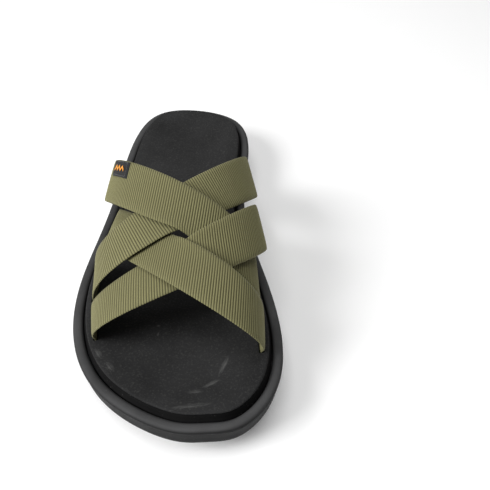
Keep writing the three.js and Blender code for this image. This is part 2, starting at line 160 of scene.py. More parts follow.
# Camera and light
CAMERA_PLACE = (21.455, -278.583, 281.239)
CAMERA_PITCH = 0.769
CAMERA_YAW = 0.080
CAMERA_ROLL = 0.026
CAMERA_SENSOR = 36
CAMERA_LENS = 42.53


# ---- Heights and outline ----

def ramp(value, start, run):
    return np.clip((value - start) / run, 0, 1)


def toe_curve(y):
    return ramp(-y, -FLAT_FRONT, TOE_RUN) ** 2


def ground_height(y):
    return TOE_SPRING * toe_curve(y) + HEEL_BEVEL * ramp(y, HEEL_BEVEL_START, HEEL_BEVEL_RUN) ** 2


def lip_height(y):
    rise = ramp(y, RAMP_START, RAMP_RUN)
    return LIP_AT_BALL + TOE_RISE * toe_curve(y) + LIP_HEEL_RISE * rise * rise * (3 - 2 * rise)


def foot_height(y):
    return lip_height(y) + FOOTBED_PROUD


def below_lip(depth):
    return lambda y: lip_height(y) - depth


def above_ground(height):
    return lambda y: ground_height(y) + height


def outline(inset, samples=SAMPLES_PER_HANDLE):
    """Points round the sole, anticlockwise from the toe, moved inwards by the inset."""
    inner = [(row[2], row[0]) for row in OUTLINE_ROWS]
    outer = [(row[1], row[0]) for row in reversed(OUTLINE_ROWS)]
    handles = np.array([TOE_HANDLE, *inner, HEEL_HANDLE, *outer], float)
    t = (np.arange(samples) / samples)[:, None]
    s = 1 - t
    weights = (s ** 3, 3 * t ** 3 - 6 * t ** 2 + 4, 3 * s ** 3 - 6 * s ** 2 + 4, t ** 3)
    slopes = (-(s ** 2), 3 * t ** 2 - 4 * t, 4 * s - 3 * s ** 2, t ** 2)
    points = []
    for i in range(len(handles)):
        span = [handles[(i + k) % len(handles)] for k in (-1, 0, 1, 2)]
        place = sum(w * h for w, h in zip(weights, span)) / 6
        direction = sum(w * h for w, h in zip(slopes, span))
        direction /= np.linalg.norm(direction, axis=1, keepdims=True)
        points.append(place + inset * np.stack([-direction[:, 1], direction[:, 0]], axis=1))
    return np.concatenate(points)


def ring(inset, height):
    plan = outline(inset)
    return np.column_stack([plan, height(plan[:, 1])])


def dished_rings(height):
    """Rings inside the footbed's rim, drawn in towards its spine and sunk by the dish."""
    rim = outline(DISH_INSET)
    partner = np.roll(rim[::-1], 1, axis=0)
    spine = np.column_stack([(rim[:, 0] + partner[:, 0]) / 2, rim[:, 1] * SPINE_RATIO])
    rings = []
    for factor in np.linspace(1, SMALLEST_DISH_RING, DISH_RINGS):
        plan = spine + (rim - spine) * factor
        rings.append(np.column_stack([plan, height(plan[:, 1]) - DISH_DEPTH * (1 - factor ** 2)]))
    return rings


# ---- Meshes ----

SHARP_ANGLE = 40
CUP_SHARP_ANGLE = 50
NEVER_SHARP = 180


def make_piece(name, points, faces, uvs=None, sharp=SHARP_ANGLE):
    mesh = bpy.data.meshes.new(name)
    mesh.from_pydata((np.asarray(points) * MM).tolist(), [], faces)
    if uvs is not None:
        layer = mesh.uv_layers.new(name="UVMap")
        corners = np.zeros(len(mesh.loops), int)
        mesh.loops.foreach_get("vertex_index", corners)
        layer.data.foreach_set("uv", np.asarray(uvs)[corners].ravel())
    mesh.validate()
    mesh.shade_smooth()
    mesh.set_sharp_from_angle(angle=math.radians(sharp))
    piece = bpy.data.objects.new(name, mesh)
    bpy.context.scene.collection.objects.link(piece)
    return piece


def tube_faces(rings, count, first=0):
    """Quads that join a stack of closed rings."""
    faces = []
    for row in range(rings - 1):
        start = first + row * count
        for i in range(count):
            a, b = start + i, start + (i + 1) % count
            faces.append((a, b, b + count, a + count))
    return faces


def cap_faces(first, count, flip):
    """A ring closed straight across, from each point to its partner."""
    half = count // 2
    faces = [(0, 1, count - 1), (half - 1, half, half + 1)]
    faces += [(i, i + 1, count - i - 1, count - i) for i in range(1, half - 1)]
    faces = [tuple(first + i for i in face) for face in faces]
    return [face[::-1] for face in faces] if flip else faces


def loft_faces(rings, count, first=0):
    last = first + (rings - 1) * count
    caps = cap_faces(first, count, True) + cap_faces(last, count, False)
    return tube_faces(rings, count, first) + caps


def loft(name, rings, sharp=SHARP_ANGLE):
    """A closed body through rings that run anticlockwise from the lowest to the highest."""
    points = np.concatenate(rings)
    return make_piece(name, points, loft_faces(len(rings), len(rings[0])), sharp=sharp)


def prism(corners, bottom, top):
    """Points and faces of an upright prism over corners in plan."""
    count = len(corners)
    points = [(x, y, bottom) for x, y in corners] + [(x, y, top) for x, y in corners]
    faces = [tuple(range(count))[::-1], tuple(range(count, 2 * count))]
    faces += [(i, (i + 1) % count, (i + 1) % count + count, i + count) for i in range(count)]
    return points, faces


def cut(piece, prisms, sharp=SHARP_ANGLE):
    """Cuts upright prisms out of a piece."""
    points, faces = [], []
    for prism_points, prism_faces in prisms:
        faces += [tuple(i + len(points) for i in face) for face in prism_faces]
        points += prism_points
    cutter = make_piece("cutter", points, faces)
    modifier = piece.modifiers.new("cut", "BOOLEAN")
    modifier.operation = "DIFFERENCE"
    modifier.solver = "EXACT"
    modifier.use_self = True
    modifier.object = cutter
    depsgraph = bpy.context.evaluated_depsgraph_get()
    mesh = bpy.data.meshes.new_from_object(piece.evaluated_get(depsgraph))
    piece.modifiers.clear()
    piece.data = mesh
    mesh.shade_smooth()
    mesh.set_sharp_from_angle(angle=math.radians(sharp))
    bpy.data.objects.remove(cutter)


def finish_piece(piece, material, slot, *nodes):
    piece.data.materials.clear()
    piece.data.materials.append(material)
    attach(piece, "root")
    if nodes:
        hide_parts(*nodes)


# ---- Slots ----

SLOT_LINE_SAMPLES = 6
TAIL_CLEARANCE = 1

def slot_point(side, y):
    """The point on the slot line at the given y, on the outer or inner side of the sole."""
    points = outline(SLOT_INSET, SLOT_LINE_SAMPLES)
    half = len(points) // 2
    line = np.concatenate([points[half:], points[:1]])[::-1] if side == "outer" else points[:half + 1]
    front = np.argmin(line[:, 1])
    rising = line[front:]
    return np.array([np.interp(y, rising[:, 1], rising[:, 0]), y])


def slot_line(name, side):
    """Toe end, heel end, direction and inward direction of a strap's slot, in plan."""
    end = 0 if side == "outer" else 1
    toe = slot_point(side, STRAPS[name]["toe"][end])
    heel = slot_point(side, STRAPS[name]["heel"][end])
    along = (heel - toe) / np.linalg.norm(heel - toe)
    inwards = np.array([along[1], -along[0]]) * (1 if side == "outer" else -1)
    return toe, heel, along, inwards


def slot_strip(name, side, inner_reach):
    toe, heel, along, inwards = slot_line(name, side)
    room = WEBBING_THICKNESS / 2 + SLOT_CLEARANCE
    end = 2 * SLOT_CLEARANCE
    corners = [toe - end * along - room * inwards, toe - end * along + inner_reach * inwards,
               heel + end * along + inner_reach * inwards, heel + end * along - room * inwards]
    return [tuple(corner) for corner in (corners if side == "outer" else corners[::-1])]


def slot_prisms():
    room = WEBBING_THICKNESS / 2 + SLOT_CLEARANCE
    return [prism(slot_strip(name, side, room), 0, CUTTER_TOP)
            for name in STRAPS for side in ("outer", "inner")]


def recess_prisms():
    """Room under the footbed for the folded strap ends."""
    made = []
    for name in STRAPS:
        for side in ("outer", "inner"):
            toe, heel, _, _ = slot_line(name, side)
            bottom = min(lip_height(toe[1]), lip_height(heel[1])) - TAIL_RECESS
            made.append(prism(slot_strip(name, side, TAIL_LENGTH + TAIL_CLEARANCE), bottom, CUTTER_TOP))
    return made


# ---- Sole pieces ----

LIP_RADIUS = LIP_WIDTH / 2
LIP_TURNS = 15
LIP_FLATNESS = 0.8
LIP_FALL = 2.4
LIP_EDGE = 0.1
MOULD_LINE_DEPTH = 3.1
MOULD_LINE_WIDTH = 0.55
MOULD_LINE_INSETS = (0.2, 0.75, 0.15)
WALL_FOOT_INSET = 5.4
WALL_BEND = 4.1
WALL_BEND_HEIGHT = 0.55
WALL_BEND_TURNS = 9
WALL_LEAN = 1.05
WALL_LEAN_HEIGHT = 0.41
WALL_STEPS = (0.25, 0.5, 0.75, 1)

# The foam's side above its base: extra inset from the lip, depth below the lip
FOAM_SIDE = [(0.4, FOAM_BOTTOM), (0.4, 1.6), (0.9, 0.8), (1.3, -0.6), (1.7, -1.8)]

# The cover's rolled edge
COVER_EDGE_TURNS = 5
COVER_EDGE_INSET = 0.1
COVER_EDGE_ROLL = 0.9
COVER_EDGE_DROP = 0.3
COVER_TOP_INSETS = (10.5, 12.5)


def midsole():
    """The moulded cup: a wall that draws in towards the ground, a mould line and a rounded lip."""
    def wall(share):
        return lambda y: ground_height(y) + OUTSOLE_PROUD + share * (
            lip_height(y) - MOULD_LINE_DEPTH - ground_height(y) - OUTSOLE_PROUD)

    rings = [
        ring(OUTSOLE_INSET - GAP, above_ground(OUTSOLE_THICKNESS + GAP)),
        ring(OUTSOLE_INSET - GAP, above_ground(OUTSOLE_PROUD)),
    ]
    for turn in np.linspace(0, math.pi / 2, WALL_BEND_TURNS):
        share = WALL_BEND_HEIGHT * (1 - math.cos(turn))
        rings.append(ring(WALL_FOOT_INSET - WALL_BEND * math.sin(turn), wall(share)))
    for step in WALL_STEPS:
        inset = WALL_FOOT_INSET - WALL_BEND - WALL_LEAN * step
        rings.append(ring(inset, wall(WALL_BEND_HEIGHT + WALL_LEAN_HEIGHT * step)))
    for inset, side in zip(MOULD_LINE_INSETS, (1, 0, -1)):
        rings.append(ring(inset, below_lip(MOULD_LINE_DEPTH + side * MOULD_LINE_WIDTH / 2)))
    reach = LIP_RADIUS - LIP_EDGE
    for turn in np.linspace(0, math.pi, LIP_TURNS):
        inset = LIP_RADIUS - reach * math.cos(turn)
        drop = LIP_FALL * (1 - math.sin(turn) ** LIP_FLATNESS)
        rings.append(ring(inset, below_lip(drop)))
    rings += [
        ring(LIP_WIDTH, below_lip(MOULD_LINE_DEPTH)),
        ring(LIP_WIDTH, below_lip(POCKET_FLOOR)),
    ]
    piece = loft("midsole_cup", rings, sharp=CUP_SHARP_ANGLE)
    cut(piece, recess_prisms(), sharp=CUP_SHARP_ANGLE)
    finish_piece(piece, MATERIALS["midsole_foam"], "midsole_foam", "midsole")


def outsole():
    """The rubber tread, with waved grooves."""
    rings = [ring(OUTSOLE_INSET + inset, above_ground(height)) for inset, height in TREAD_EDGE]
    rings.append(ring(OUTSOLE_INSET, above_ground(OUTSOLE_THICKNESS)))
    piece = loft("outsole_tread", rings)
    grooves = []
    for row in GROOVE_ROWS:
        y = row * GROOVE_PITCH
        half = GROOVE_WIDTH / 2
        line = [(x, y + GROOVE_WAVE * math.cos(math.pi * x / GROOVE_HALF_LENGTH) ** 2)
                for x in np.linspace(-GROOVE_HALF_LENGTH, GROOVE_HALF_LENGTH, GROOVE_SAMPLES)]
        corners = [(x, at - half) for x, at in line] + [(x, at + half) for x, at in reversed(line)]
        height = max(ground_height(y - half), ground_height(y + GROOVE_WAVE + half))
        grooves.append(prism(corners, CUTTER_BOTTOM, height + GROOVE_DEPTH))
    cut(piece, grooves)
    finish_piece(piece, MATERIALS["outsole_rubber"], "outsole_rubber", "outsole")


def footbed():
    """The foam under the cover, whose side wall shows above the lip."""
    top = below_lip(COVER_THICKNESS + GAP - FOOTBED_PROUD)
    rings = [ring(LIP_WIDTH + inset, below_lip(depth)) for inset, depth in FOAM_SIDE]
    rings.append(ring(COVER_INSET, top))
    piece = loft("footbed_foam_core", rings + dished_rings(top))
    cut(piece, slot_prisms())
    finish_piece(piece, MATERIALS["footbed_foam"], "footbed_foam", "footbed")


def footbed_cover():
    """The thin cover, with a rolled edge and a dished top."""
    bottom = below_lip(COVER_THICKNESS - FOOTBED_PROUD)
    rings = dished_rings(bottom)[::-1]
    rings.append(ring(COVER_INSET, bottom))
    for turn in np.linspace(0, math.pi / 2, COVER_EDGE_TURNS):
        inset = COVER_INSET - COVER_EDGE_INSET + COVER_EDGE_ROLL * (1 - math.cos(turn))
        drop = (COVER_THICKNESS - COVER_EDGE_DROP) * (1 - math.sin(turn))
        rings.append(ring(inset, below_lip(drop - FOOTBED_PROUD)))
    rings += [ring(inset, foot_height) for inset in COVER_TOP_INSETS]
    rings += dished_rings(foot_height)
    piece = loft("footbed_cover_sheet", rings)
    cut(piece, slot_prisms())
    finish_piece(piece, MATERIALS["footbed_cover"], "footbed_cover", "footbed_cover")


# ---- Straps ----

ARCH_SAMPLES = 241
HELD_SHARE = 12
TAIL_SAMPLES = 24
BEND_TURNS = 8
RISE_SAMPLES = 14
TAIL_GAP = 0.05
MOUTH_REACH = 6
MOUTH_PASSES = 60
FINISH_PASSES = 4
RIB_SHARPNESS = 2.5
SELVAGE_ROUND = 0.12
SELVAGE_THICKNESS = 0.55
SELVAGE_TUCK = 0.2
SELVAGE_UV = 0.01
RIB_FADE = (1.6, 0.6)

def bezier(points, t):
    t = t[:, None]
    s = 1 - t
    ends = s ** 3 * points[0] + t ** 3 * points[3]
    return ends + 3 * s * s * t * points[1] + 3 * s * t * t * points[2]


def arch_edge(edge):
    outer_y, inner_y, outer_lead, inner_lead = edge
    start = np.append(slot_point("outer", outer_y), foot_height(outer_y))
    finish = np.append(slot_point("inner", inner_y), foot_height(inner_y))
    return start, start + outer_lead, finish + inner_lead, finish


def arch(name, along, across):
    """Middle surface of a strap's arch before it settles: rows along it, points across it."""
    toe = bezier(arch_edge(STRAPS[name]["toe"]), along)[:, None]
    heel = bezier(arch_edge(STRAPS[name]["heel"]), along)[:, None]
    return toe + (heel - toe) * across[None, :, None]


def normals(grid):
    """Outward unit normals of a grid of points."""
    normal = np.cross(np.gradient(grid, axis=0), np.gradient(grid, axis=1))
    return normal / np.linalg.norm(normal, axis=-1, keepdims=True)


def smooth_rows(values, passes):
    for _ in range(passes):
        padded = np.concatenate([values[:1], values, values[-1:]])
        values = (padded[:-2] + 2 * padded[1:-1] + padded[2:]) / 4
    return values


def separate(over, under, over_normals, under_normals, share):
    """How far one strap moves off another where their webbing would touch."""
    flat_over, flat_under = over.reshape(-1, 3), under.reshape(-1, 3)
    apart = flat_over[:, None] - flat_under[None]
    nearest = np.argmin((apart ** 2).sum(-1), axis=1)
    reach = flat_over - flat_under[nearest]
    lower_normals = under_normals.reshape(-1, 3)[nearest]
    rise = (reach * lower_normals).sum(-1) * share
    beside = np.sqrt(np.maximum((reach ** 2).sum(-1) - rise ** 2, 0))
    lack = np.where(beside < CROSSING_REACH, np.maximum(CROSSING_RISE - rise, 0), 0)
    flat_over += over_normals.reshape(-1, 3) * (share * lack / 2)[:, None]
    total = np.zeros(len(flat_under))
    np.maximum.at(total, nearest, lack)
    flat_under -= under_normals.reshape(-1, 3) * (share * total / 2)[:, None]


def settled_moves():
    """How the straps' middle surfaces move as they settle over and under each other."""
    along = np.linspace(0, 1, SETTLE_ALONG)
    across = np.linspace(0, 1, SETTLE_ACROSS)
    start = {name: arch(name, along, across) for name in STRAPS}
    held = np.minimum(1, np.minimum(along, 1 - along) * HELD_SHARE)[:, None, None]
    now = {name: grid.copy() for name, grid in start.items()}
    for _ in range(SETTLE_PASSES):
        facing = {name: normals(grid) for name, grid in now.items()}
        for over, under in CROSSINGS:
            separate(now[over], now[under], facing[over], facing[under], 1)
            separate(now[under], now[over], facing[under], facing[over], -1)
        for name in STRAPS:
            now[name] = start[name] + smooth_rows(now[name] - start[name], 1) * held
    return {name: now[name] - start[name] for name in STRAPS}


def read_smoothly(values, at):
    """Evenly spaced values, read at places from 0 to 1 along a smooth curve through them."""
    last = len(values) - 1
    place = np.clip(at, 0, 1) * last
    index = np.minimum(place.astype(int), last - 1)
    t = (place - index).reshape((-1,) + (1,) * (values.ndim - 1))
    a, b, c, d = (values[np.clip(index + k, 0, last)] for k in (-1, 0, 1, 2))
    squared = (2 * a - 5 * b + 4 * c - d) * t ** 2
    cubed = (3 * b - a - 3 * c + d) * t ** 3
    return 0.5 * (2 * b + (c - a) * t + squared + cubed)


def settled_arch(name, along, across):
    moves = read_smoothly(MOVES[name], along)
    moves = np.swapaxes(read_smoothly(np.swapaxes(moves, 0, 1), across), 0, 1)
    return arch(name, along, across) + moves


def tail(mouths, inwards):
    """Rows from the end of a folded tail, round its bend and up to the slot's mouth."""
    def at(distance):
        plan = mouths[:, :2] + inwards * distance
        low = lip_height(plan[:, 1]) - BOARD_BOTTOM - GAP - WEBBING_THICKNESS / 2 - TAIL_GAP
        return np.column_stack([plan, low])

    rows = [at(distance) for distance in np.linspace(TAIL_LENGTH, BEND_RADIUS, TAIL_SAMPLES)]
    for turn in np.linspace(0, math.pi / 2, BEND_TURNS)[1:]:
        row = at(BEND_RADIUS * (1 - math.sin(turn)))
        row[:, 2] += BEND_RADIUS * (1 - math.cos(turn))
        rows.append(row)
    low = rows[-1][:, 2]
    for share in np.linspace(0, 1, RISE_SAMPLES)[1:-1]:
        row = at(0)
        row[:, 2] = low + share * (mouths[:, 2] - low)
        rows.append(row)
    return rows


def strap_surface(name, across):
    """A strap's whole middle surface, from tail to tail, in rows evenly spaced by length."""
    middle = settled_arch(name, np.linspace(0, 1, ARCH_SAMPLES), across)
    outer = tail(middle[0], slot_line(name, "outer")[3])
    inner = tail(middle[-1], slot_line(name, "inner")[3])
    rows = np.array([*outer, *middle, *inner[::-1]])
    centre = rows[:, rows.shape[1] // 2]
    length = np.concatenate([[0], np.cumsum(np.linalg.norm(np.diff(centre, axis=0), axis=1))])
    count = int(length[-1] / RIB_PITCH) * RIB_SAMPLES + 1
    even = np.linspace(0, length[-1], count)
    flat = rows.reshape(len(rows), -1)
    even_rows = np.column_stack([np.interp(even, length, column) for column in flat.T])
    even_rows = even_rows.reshape(count, -1, 3)
    mouths = (length[len(outer)], length[-1] - length[len(inner)])
    near = np.min([np.abs(even - mouth) for mouth in mouths], axis=0)
    softened = smooth_rows(even_rows, MOUTH_PASSES)
    share = np.clip(1 - near / MOUTH_REACH, 0, 1)[:, None, None]
    share = share * share * (3 - 2 * share)
    even_rows = even_rows * (1 - share) + softened * share
    return smooth_rows(even_rows, FINISH_PASSES), even


def webbing(name):
    """A strap of ribbed webbing with thin, scalloped selvages."""
    across = np.linspace(0, 1, FACE_SAMPLES + 1)
    middle, length = strap_surface(name, across)
    facing = normals(middle)
    sideways = np.gradient(middle, axis=1)
    sideways /= np.linalg.norm(sideways, axis=-1, keepdims=True)
    width = np.linalg.norm(middle[:, -1] - middle[:, 0], axis=1)
    phase = np.cos(np.pi * length / RIB_PITCH) ** 2
    rib = 1 - (1 - phase) ** RIB_SHARPNESS
    half = WEBBING_THICKNESS / 2
    profile = np.sin(np.linspace(0, math.pi, FACE_SAMPLES + 1)) ** SELVAGE_ROUND
    profile[[0, -1]] = SELVAGE_THICKNESS
    ribbed = np.clip(profile[None] * RIB_FADE[0] - RIB_FADE[1], 0, 1)
    lift = half * profile[None] - RIB_DEPTH * (1 - rib[:, None]) * ribbed
    top = middle + facing * lift[..., None]
    low = middle - facing * lift[..., None]
    scallop = (RIB_SCALLOP * rib)[:, None] + half * SELVAGE_THICKNESS
    near_edge = middle[:, 0] - sideways[:, 0] * (scallop - half * SELVAGE_TUCK)
    far_edge = middle[:, -1] + sideways[:, -1] * (scallop - half * SELVAGE_TUCK)
    ring_rows = np.concatenate([top, far_edge[:, None], low[:, ::-1], near_edge[:, None]], axis=1)
    place = np.concatenate([across, [1 + SELVAGE_UV], across[::-1], [-SELVAGE_UV]])
    u = np.repeat(length[:, None] * MM, len(place), axis=1)
    v = place[None] * width[:, None] * MM
    count = ring_rows.shape[1]
    points = ring_rows.reshape(-1, 3)
    uvs = np.column_stack([u.ravel(), v.ravel()])
    faces = tube_faces(len(ring_rows), count)
    last = (len(ring_rows) - 1) * count
    faces += [tuple(range(count))[::-1], tuple(range(last, last + count))]
    piece = make_piece(f"webbing_{name}", points, faces, uvs, sharp=NEVER_SHARP)
    finish_piece(piece, MATERIALS["webbing"], "webbing", f"strap_{name}")


# ---- Labels and stitching ----

FACE_STEP = 0.004
LABEL_COLUMNS = 26
LABEL_EDGE = 0.35
LABEL_GAP = 0.1
LABEL_UV = (0.23, 0.0254)
STITCH_LEAN = (0.3, 0.2, 0.93)
STITCH_SIDES = 6
STITCH_PLACES = (0, 0.1, 0.35, 0.65, 0.9, 1)
STITCH_SIZES = (0.35, 0.85, 1, 1, 0.85, 0.35)
STITCH_RADIUS = 0.2
STITCH_ARCH = 0.08
STITCH_GAP = 0.12
TRACK_SAMPLES = 40
FEWEST_STITCHES = 3
TAB_PITCH = 1.5
INNER_PITCH = 2.2
MARK_LEGS = 6
MARK_THREADS = 9
MARK_LIFT = 0.18
MARK_RISE = 0.62
MARK_RADIUS = 0.17
MARK_ARCH = 0.16
RING_OUTER = 3.4
RING_INNER = 2.4
RING_THICKNESS = 0.25
RING_EDGE = 0.1
RING_SEGMENTS = 64
RING_STEP_ALONG = 0.01
RING_STEP_ACROSS = 0.05

def face_point(along, across, height):
    """Points on the upper strap, at a height over its middle surface."""
    along, across = np.atleast_1d(along), np.atleast_1d(across)

    def at(a, b):
        moves = read_smoothly(MOVES["upper_over"], a)
        moves = np.array([read_smoothly(move, np.array([place]))[0] for move, place in zip(moves, b)])
        toe = bezier(arch_edge(STRAPS["upper_over"]["toe"]), a)
        heel = bezier(arch_edge(STRAPS["upper_over"]["heel"]), a)
        return toe + (heel - toe) * b[:, None] + moves

    here = at(along, across)
    ahead = at(along + FACE_STEP, across) - here
    normal = np.cross(ahead, at(along, across + FACE_STEP) - here)
    normal /= np.linalg.norm(normal, axis=1, keepdims=True)
    return here + normal * np.reshape(height, (-1, 1))


def woven_patch(name, area, low, high, material, slot, node):
    """A label that follows the strap, with rounded edges."""
    columns = LABEL_COLUMNS
    lines = LABEL_COLUMNS
    u = np.linspace(*area[0], columns)
    v = np.linspace(*area[1], lines)
    grid_u, grid_v = np.meshgrid(u, v, indexing="ij")
    round_off = np.full(grid_u.shape, LABEL_EDGE)
    round_off[1:-1, 1:-1] = 1
    top = face_point(grid_u.ravel(), grid_v.ravel(), (low + (high - low) * round_off).ravel())
    base = face_point(grid_u.ravel(), grid_v.ravel(), np.full(grid_u.size, low))
    count = columns * lines
    faces = []
    for i in range(columns - 1):
        for j in range(lines - 1):
            a = i * lines + j
            b, c, d = a + lines, a + lines + 1, a + 1
            faces.append((a, b, c, d))
            faces.append((a + count, d + count, c + count, b + count))
    border = [i * lines for i in range(columns)]
    border += [(columns - 1) * lines + j for j in range(1, lines)]
    border += [i * lines + lines - 1 for i in range(columns - 2, -1, -1)]
    border += [j for j in range(lines - 2, 0, -1)]
    for i, a in enumerate(border):
        b = border[(i + 1) % len(border)]
        faces.append((b, a, a + count, b + count))
    points = np.concatenate([top, base])
    uvs = np.tile(np.column_stack([grid_u.ravel() * LABEL_UV[0], grid_v.ravel() * LABEL_UV[1]]), (2, 1))
    piece = make_piece(name, points, faces, uvs)
    finish_piece(piece, material, slot, node)


def stitch_mesh(ends, radius, arch_height):
    """Points and faces of rounded stitches, each a short thread between two points."""
    points, faces = [], []
    for start, end in ends:
        start, end = np.asarray(start, float), np.asarray(end, float)
        along = end - start
        along /= np.linalg.norm(along)
        side = np.cross(along, STITCH_LEAN)
        side /= np.linalg.norm(side)
        up = np.cross(side, along)
        up *= np.sign(up[2]) or 1
        first = len(points)
        for place, size in zip(STITCH_PLACES, STITCH_SIZES):
            centre = start + (end - start) * place + up * arch_height * math.sin(math.pi * place)
            for k in range(STITCH_SIDES):
                turn = 2 * math.pi * k / STITCH_SIDES
                points.append(centre + radius * size * (side * math.cos(turn) + up * math.sin(turn)))
        for row in range(len(STITCH_PLACES) - 1):
            start = first + row * STITCH_SIDES
            for k in range(STITCH_SIDES):
                a = start + k
                b = start + (k + 1) % STITCH_SIDES
                faces.append((a, a + STITCH_SIDES, b + STITCH_SIDES, b))
        last = first + (len(STITCH_PLACES) - 1) * STITCH_SIDES
        faces.append(tuple(first + k for k in range(STITCH_SIDES)))
        faces.append(tuple(last + k for k in reversed(range(STITCH_SIDES))))
    return points, faces


def stitched_frame(name, area, height, pitch, material, slot, node):
    """A run of stitches round an area of the upper strap."""
    (a0, a1), (b0, b1) = area
    corners = [(a0, b0), (a1, b0), (a1, b1), (a0, b1), (a0, b0)]
    ends = []
    for (u0, v0), (u1, v1) in zip(corners, corners[1:]):
        track = np.linspace(0, 1, TRACK_SAMPLES)
        line = face_point(u0 + (u1 - u0) * track, v0 + (v1 - v0) * track, height)
        length = np.linalg.norm(np.diff(line, axis=0), axis=1).sum()
        count = max(FEWEST_STITCHES, round(length / pitch))
        for k in range(count):
            share = np.array([(k + STITCH_GAP) / count, (k + 1 - STITCH_GAP) / count])
            ends.append(face_point(u0 + (u1 - u0) * share, v0 + (v1 - v0) * share, height))
    points, faces = stitch_mesh(ends, STITCH_RADIUS, STITCH_ARCH)
    piece = make_piece(name, points, faces, sharp=NEVER_SHARP)
    finish_piece(piece, material, slot, node)


def tab_mark():
    """A generic embroidered zig-zag in orange, filled with satin stitches."""
    (a0, a1), (b0, b1) = TAB_MARK
    height = WEBBING_THICKNESS / 2 + GAP + LABEL_THICKNESS + MARK_LIFT
    ends = []
    for leg in range(MARK_LEGS):
        for k in range(MARK_THREADS):
            share = (leg + k / MARK_THREADS) / MARK_LEGS
            rise = k / MARK_THREADS if leg % 2 == 0 else 1 - k / MARK_THREADS
            u = a0 + (a1 - a0) * share
            low = b0 + (b1 - b0) * MARK_RISE * rise
            high = low + (b1 - b0) * (1 - MARK_RISE)
            ends.append(face_point(np.full(2, u), np.array([low, high]), height))
    points, faces = stitch_mesh(ends, MARK_RADIUS, MARK_ARCH)
    piece = make_piece("tab_zigzag", points, faces, sharp=NEVER_SHARP)
    finish_piece(piece, MATERIALS["orange_thread"], "orange_thread", "logo_tab_mark")


def inner_ring():
    """A printed ring on the inner label."""
    along, across = INNER_RING
    centre = face_point(along, across, 0)[0]
    seat = face_point(along, across, -(WEBBING_THICKNESS / 2 + GAP + LABEL_THICKNESS))[0]
    ahead = face_point(along + RING_STEP_ALONG, across, 0)[0] - centre
    beside = face_point(along, across + RING_STEP_ACROSS, 0)[0] - centre
    inside = -np.cross(ahead, beside)
    inside /= np.linalg.norm(inside)
    ahead /= np.linalg.norm(ahead)
    beside = np.cross(inside, ahead)
    section = [(RING_INNER, 0), (RING_INNER + RING_EDGE, RING_THICKNESS),
               (RING_OUTER - RING_EDGE, RING_THICKNESS), (RING_OUTER, 0)]
    points = []
    for k in range(RING_SEGMENTS):
        turn = 2 * math.pi * k / RING_SEGMENTS
        spoke = ahead * math.cos(turn) + beside * math.sin(turn)
        points += [seat + spoke * radius + inside * (LABEL_GAP + height) for radius, height in section]
    faces = []
    for k in range(RING_SEGMENTS):
        for i in range(len(section)):
            a = len(section) * k + i
            b = len(section) * k + (i + 1) % len(section)
            shift = len(section) if k < RING_SEGMENTS - 1 else len(section) * (1 - RING_SEGMENTS)
            faces.append((a, a + shift, b + shift, b))
    piece = make_piece("inside_label_ring", points, faces)
    finish_piece(piece, MATERIALS["grey_print"], "grey_print", "inner_label_ring")


def labels():
    face = WEBBING_THICKNESS / 2 + LABEL_GAP
    top = face + LABEL_THICKNESS
    woven_patch("tab_label", TAB, face, top, MATERIALS["label"], "label", "logo_tab")
    stitched_frame("tab_stitches", TAB_STITCHES, top + LABEL_GAP, TAB_PITCH,
                   MATERIALS["black_thread"], "black_thread", "logo_tab_stitching")
    tab_mark()
    woven_patch("inside_label", INNER_LABEL, -top, -face, MATERIALS["label"], "label", "inner_label")
    stitched_frame("inside_label_stitches", INNER_STITCHES, -top - LABEL_GAP, INNER_PITCH,
                   MATERIALS["black_thread"], "black_thread", "inner_label_stitching")
    inner_ring()


# ---- Materials ----

# Foam and rubber
DUST_SCALE = 35
FINE_GRAIN_SCALE = 1500
SPECK_SCALE = 700
SPECK_SHARE = 0.25
SPECK_COLOUR = (0.16, 0.155, 0.15)
RUB_SCALE = 22
DUSTY_ROUGHNESS = 0.15

# Footbed cover
COVER_DARK = (0.010, 0.010, 0.0103)
COVER_LIGHT = (0.020, 0.020, 0.0205)
COVER_GRAIN = (0.062, 0.062, 0.058)
COVER_GRAIN_SHARE = 0.55
SCUFF_COLOUR = (0.2, 0.2, 0.195)
SCUFF_SHARE = 0.32
SCUFF_STREAK = (160, 1100, 0)
SCUFF_SOFT_START = 0.06
SCUFF_SOFT_END = 0.36
SCUFFS = [
    # centre, half size, turn, how patchy
    ((26, -105), (11, 2.6), 1.15, 0.27),
    ((19, -116.5), (9, 2.4), 0.55, 0.27),
    ((11, -121.5), (9, 3.5), 0.1, 0.36),
    ((-40, -95), (9, 4), -1.0, 0.36),
    ((-33, -104), (10, 5), -0.9, 0.4),
    ((8, -131), (26, 4), 0.1, 0.4),
    ((-9.8, -75), (2.2, 1.6), 0.2, 0.3),
    ((-9.6, -81), (3.2, 1.1), 1.4, 0.33),
]

# Webbing
YARN_PITCH = 0.62
TWIST_SCALE = (700, 5200, 0)
# Rib valleys are painted dark as shade; rib crests are painted paler as a highlight, mixed with pale yarns.
WEBBING_VALLEY_SHADE = (0.040, 0.036, 0.014)
WEBBING_BASE = (0.176, 0.167, 0.074)
WEBBING_PALE_YARN_AND_CREST_HIGHLIGHT = (0.238, 0.226, 0.110)
WEBBING_FADED = (0.13, 0.122, 0.06)
PALE_YARN_AND_CREST_HIGHLIGHT_SHARE = 0.75
YARN_HEIGHT = 0.3

# Other materials
LABEL_PITCH = 0.5
TWIST_GRAIN_SCALE = 2600
FIBRE_SCALE = 420
FIBRE_DARK = (0.1, 0.075, 0.045)
FIBRE_PALE = (0.2, 0.165, 0.11)

